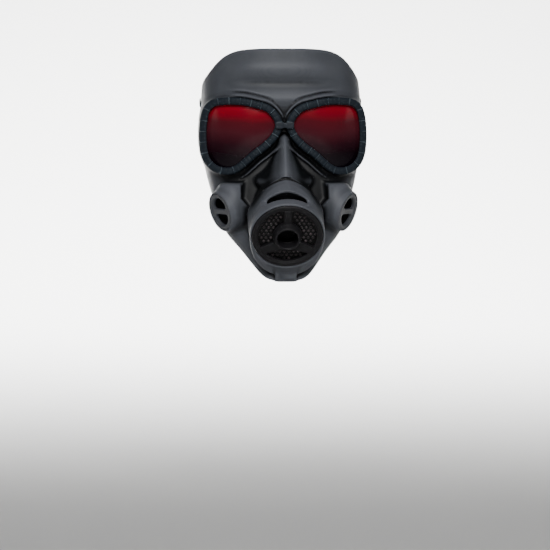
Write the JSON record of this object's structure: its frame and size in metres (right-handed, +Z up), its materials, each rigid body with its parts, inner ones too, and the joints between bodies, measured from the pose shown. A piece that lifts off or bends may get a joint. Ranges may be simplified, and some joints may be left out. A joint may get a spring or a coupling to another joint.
{
  "type": "gas mask style costume mask",
  "caption": "Full-face costume mask in gas mask style: forehead band, ribbed goggle rims with red lenses, muzzle with a slotted filter disc, cheek pods and an elastic strap.",
  "frame": {"origin": "where the inside of the brow rests on the forehead, on the middle plane", "axes": "+X to the wearer's left, -Y the way the mask faces, +Z up"},
  "size_m": [0.1694, 0.2772, 0.2316],
  "materials": {
    "moulded_vinyl": "satin dark grey soft vinyl with a fine grain",
    "rim_vinyl": "blue-black painted soft vinyl, ribbed",
    "red_lens": "glossy red tinted plastic lens",
    "filter_plastic": "brown-black matt plastic",
    "elastic_strap": "black woven elastic",
    "stud_metal": "dark metal stud"
  },
  "bodies": {
    "root": {"face_shell": "moulded_vinyl", "goggle_rim_left": "rim_vinyl", "goggle_rim_right": "rim_vinyl", "lens_left": "red_lens", "lens_right": "red_lens", "bridge_clip": "rim_vinyl", "filter_cover": "filter_plastic", "filter_mesh": "filter_plastic", "pod_cap_left": "moulded_vinyl", "pod_cap_right": "moulded_vinyl", "head_strap": "elastic_strap", "strap_stud_left": "stud_metal", "strap_stud_right": "stud_metal"}
  },
  "joints": []
}
